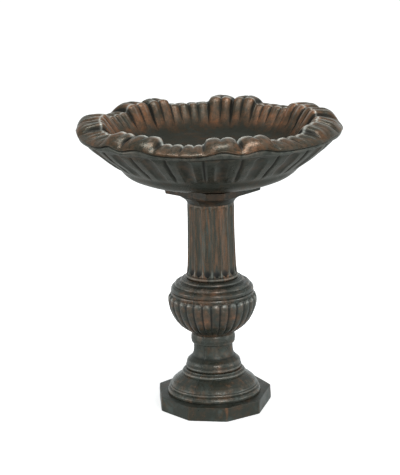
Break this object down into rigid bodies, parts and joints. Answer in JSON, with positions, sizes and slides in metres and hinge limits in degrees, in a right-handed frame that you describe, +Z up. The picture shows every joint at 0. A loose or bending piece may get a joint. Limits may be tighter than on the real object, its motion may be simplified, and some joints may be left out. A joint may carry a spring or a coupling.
{
  "type": "bird bath",
  "caption": "Pedestal bird bath: fluted round basin with a ruffled petal rim on a turned, fluted column with a gadrooned knop and an eight-sided plinth.",
  "frame": {"origin": "on the floor at the centre of the bounding box, which is the pedestal's axis", "axes": "+Z up along the pedestal's axis, -Y towards the viewer of the reference view, +X to that viewer's right"},
  "size_m": [0.68, 0.68, 0.7724],
  "materials": {
    "basin": "satin",
    "capital": "satin",
    "shaft": "satin",
    "knop": "satin",
    "base": "satin",
    "seat_ring": "matte",
    "hardware": "satin"
  },
  "bodies": {
    "pedestal": {"plinth": "base", "base_moulding": "base", "neck": "base", "collar": "base", "knop_lower": "knop", "knop_upper": "knop", "shaft": "shaft", "capital": "capital", "tie_rod": "hardware", "clamp_plate": "hardware", "bottom_washer": "hardware", "bottom_nut": "hardware", "top_washer": "hardware", "top_nut": "hardware", "top_lock_nut": "hardware"},
    "seat_ring": {"seat_ring": "seat_ring"},
    "basin": {"basin": "basin"}
  },
  "joints": [
    {"name": "basin_turn", "type": "hinge", "parent": "pedestal", "child": "seat_ring", "pos_m": [0, 0, 0.598], "axis": [0, 0, 1], "continuous": true},
    {"name": "basin_lift", "type": "slide", "parent": "seat_ring", "child": "basin", "axis": [0, 0, 1], "range_m": [0, 0.06]}
  ]
}
